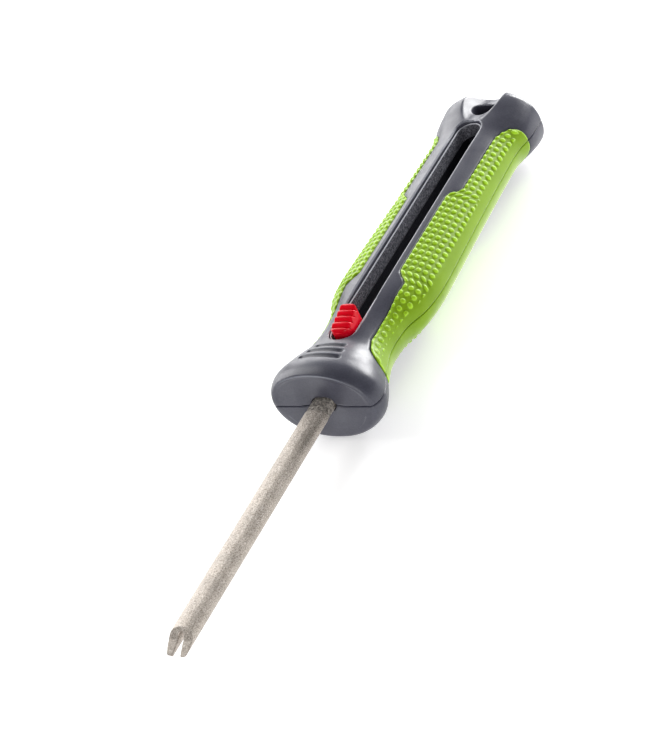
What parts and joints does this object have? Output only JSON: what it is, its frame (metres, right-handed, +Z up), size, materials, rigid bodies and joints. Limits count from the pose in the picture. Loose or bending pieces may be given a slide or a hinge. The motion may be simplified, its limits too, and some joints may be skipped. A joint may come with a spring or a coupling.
{
  "type": "retractable diamond sharpening rod",
  "caption": "Retractable diamond-coated sharpening rod in a flared two-shell hand grip; a red thumb slide pushes the rod out of the guard.",
  "frame": {"origin": "on the resting plane, midway between the rod's points and the butt, rod extended", "axes": "+X to the user's right, +Y along the rod from its points to the butt, +Z up on the slot side"},
  "size_m": [0.0376, 0.2382, 0.0264],
  "materials": {
    "slate_plastic": "satin moulded",
    "lime_rubber": "soft touch, textured",
    "black_plastic": "fine grain",
    "red_plastic": "gloss",
    "diamond_grit": "diamond grit plating",
    "steel": "plated",
    "spring_steel": "bare"
  },
  "bodies": {
    "handle": {"upper_shell": "slate_plastic", "lower_shell": "slate_plastic", "grip_upper_right": "lime_rubber", "grip_upper_left": "lime_rubber", "grip_lower_right": "lime_rubber", "grip_lower_left": "lime_rubber", "slot_trim": "black_plastic", "slide_track": "black_plastic", "nose_bush": "black_plastic", "shell_screws": "steel"},
    "slider": {"sharpening_rod": "diamond_grit", "rod_carrier": "black_plastic", "carrier_pin": "steel", "thumb_button": "red_plastic", "detent_spring": "spring_steel"}
  },
  "joints": [
    {"name": "rod_slide", "type": "slide", "parent": "handle", "child": "slider", "axis": [0, 1, 0], "range_m": [0, 0.095], "deforming": ["detent_spring"]}
  ]
}
